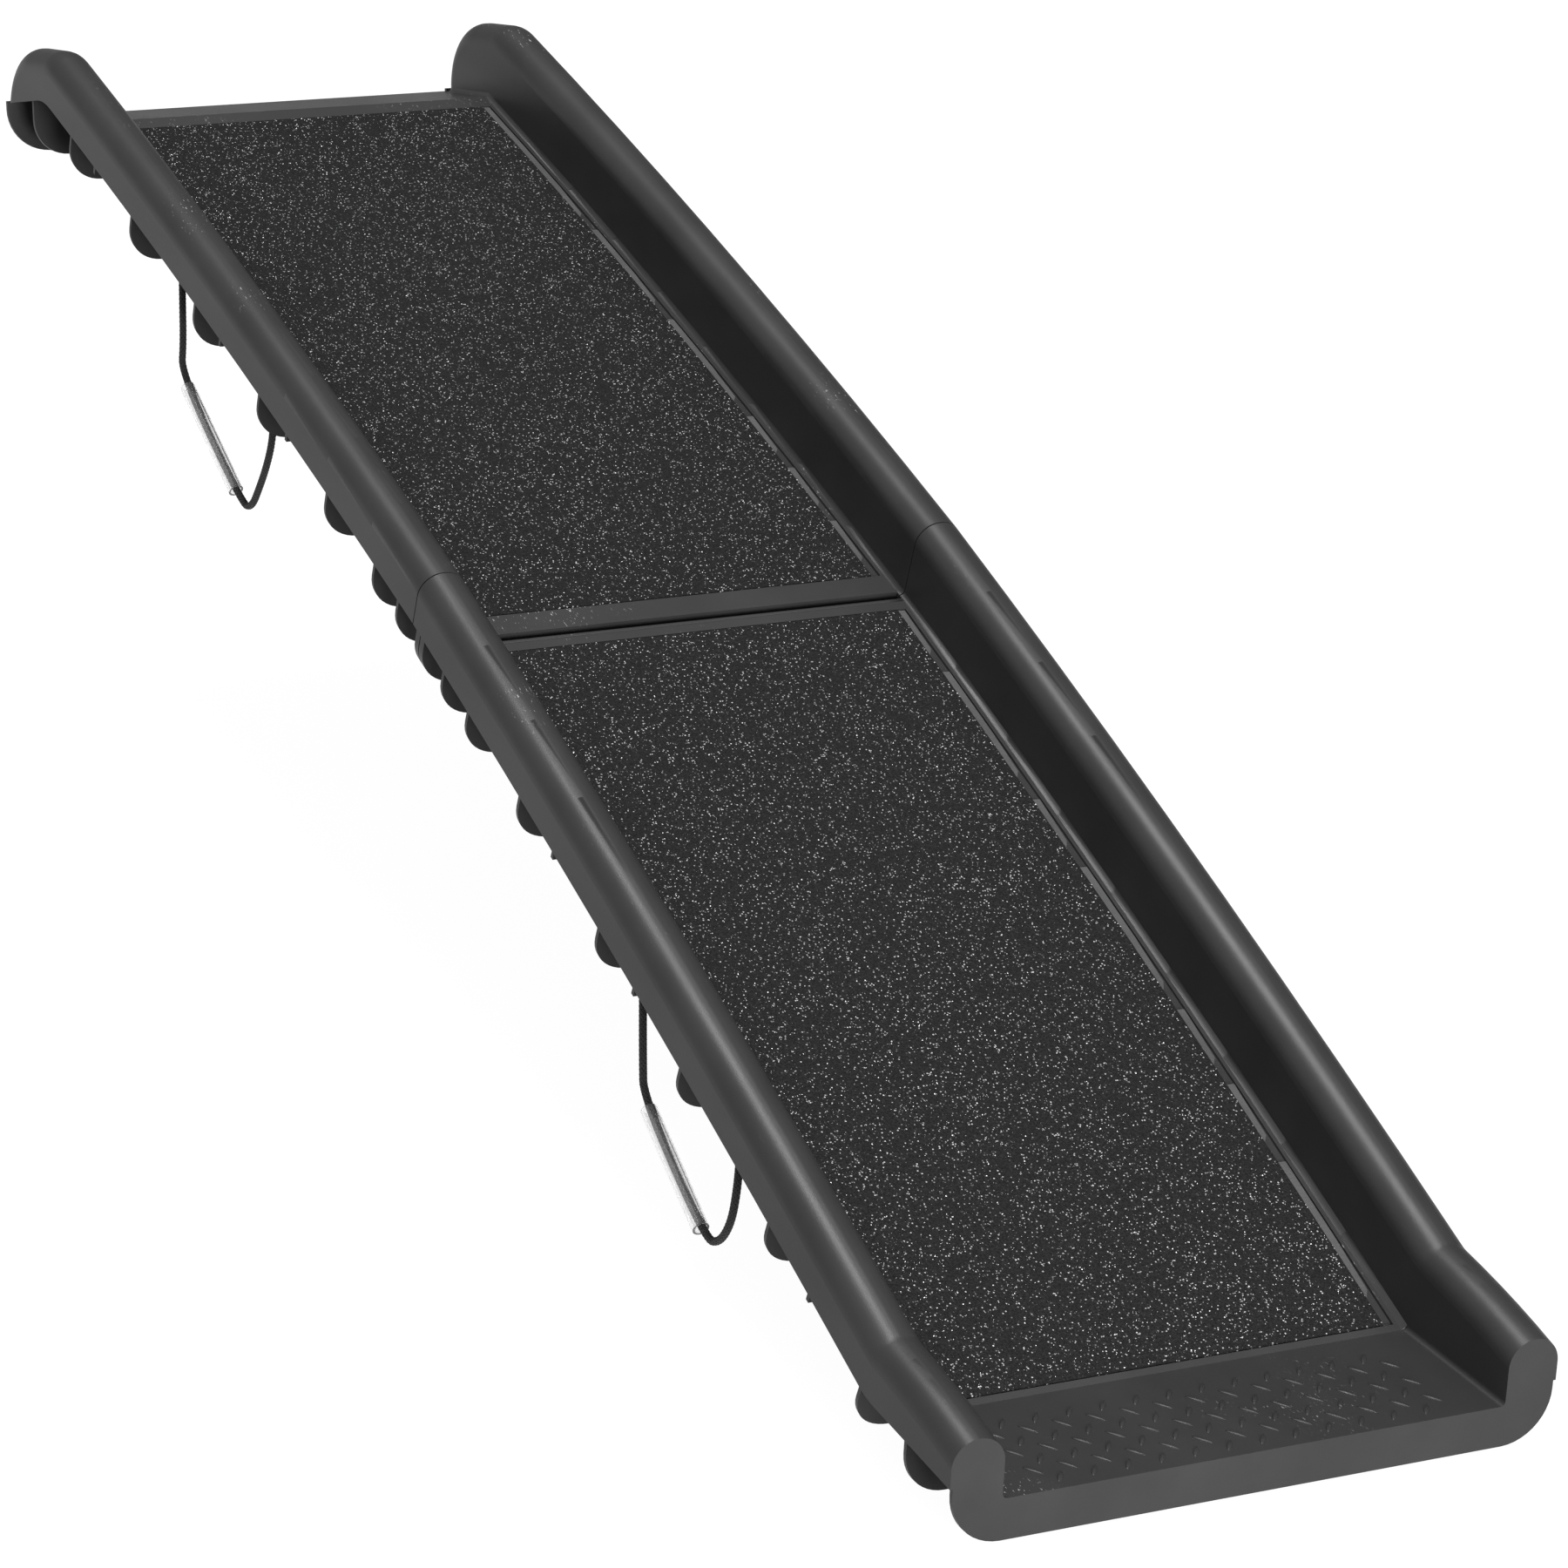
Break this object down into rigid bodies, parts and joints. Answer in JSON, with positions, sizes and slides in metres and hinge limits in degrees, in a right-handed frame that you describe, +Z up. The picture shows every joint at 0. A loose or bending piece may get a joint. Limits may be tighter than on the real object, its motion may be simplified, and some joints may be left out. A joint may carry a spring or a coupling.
{
  "type": "folding dog ramp",
  "caption": "Folding dog ramp: arched moulded deck with hollow side rails, gritty walking mats, level lips, a centre hinge and sleeved cord carry loops.",
  "frame": {"origin": "middle of the level underside of the rest strip below the upper lip, which lies on the vehicle's tailgate", "axes": "+X runs down the unfolded ramp to its lower end, +Y across the ramp, +Z up with the lower lip level on the ground"},
  "size_m": [1.4896, 0.367, 0.4621],
  "materials": {
    "panel_plastic": "satin charcoal moulding with a fine grain",
    "grip_mat": "dark grit-coated non-slip sheet",
    "rest_rubber": "soft black rubber",
    "hinge_steel": "zinc-plated steel rod",
    "cap_plastic": "black push-on cap",
    "loop_cord": "black braided cord",
    "clear_sleeve": "clear vinyl tube"
  },
  "bodies": {
    "upper_half": {"upper_panel": "panel_plastic", "upper_grip_mat": "grip_mat", "upper_rest_strip": "rest_rubber", "hinge_rod": "hinge_steel", "hinge_cap_left": "cap_plastic", "hinge_cap_right": "cap_plastic"},
    "lower_half": {"lower_panel": "panel_plastic", "lower_grip_mat": "grip_mat", "lower_rest_strip": "rest_rubber"},
    "upper_loop": {"upper_loop_cord": "loop_cord", "upper_hitch_near": "loop_cord", "upper_hitch_far": "loop_cord"},
    "upper_hand_sleeve": {"upper_sleeve": "clear_sleeve"},
    "lower_loop": {"lower_loop_cord": "loop_cord", "lower_hitch_near": "loop_cord", "lower_hitch_far": "loop_cord"},
    "lower_hand_sleeve": {"lower_sleeve": "clear_sleeve"}
  },
  "joints": [
    {"name": "fold", "type": "hinge", "parent": "upper_half", "child": "lower_half", "pos_m": [0.7242, 0, -0.14563], "axis": [0, 1, 0], "range_deg": [0, 173]},
    {"name": "upper_loop_swing", "type": "hinge", "parent": "upper_half", "child": "upper_loop", "pos_m": [0.44886, -0.162, -0.03297], "axis": [-0.9736, 0, 0.2284], "range_deg": [0, 90]},
    {"name": "lower_loop_swing", "type": "hinge", "parent": "lower_half", "child": "lower_loop", "pos_m": [1.03224, -0.162, -0.20575], "axis": [-0.9418, 0, 0.3361], "range_deg": [0, 90]},
    {"name": "upper_sleeve_spin", "type": "hinge", "parent": "upper_loop", "child": "upper_hand_sleeve", "pos_m": [0.29944, -0.16485, -0.08153], "axis": [0.8413, 0.0624, -0.5369], "continuous": true},
    {"name": "lower_sleeve_spin", "type": "hinge", "parent": "lower_loop", "child": "lower_hand_sleeve", "pos_m": [1.04398, -0.15961, -0.29894], "axis": [0.9118, -0.0527, -0.4073], "continuous": true}
  ],
  "couplings": [
    {"joint": "upper_loop_swing", "follows": "fold", "ratio": 0.52},
    {"joint": "lower_loop_swing", "follows": "fold", "ratio": 0.52}
  ]
}
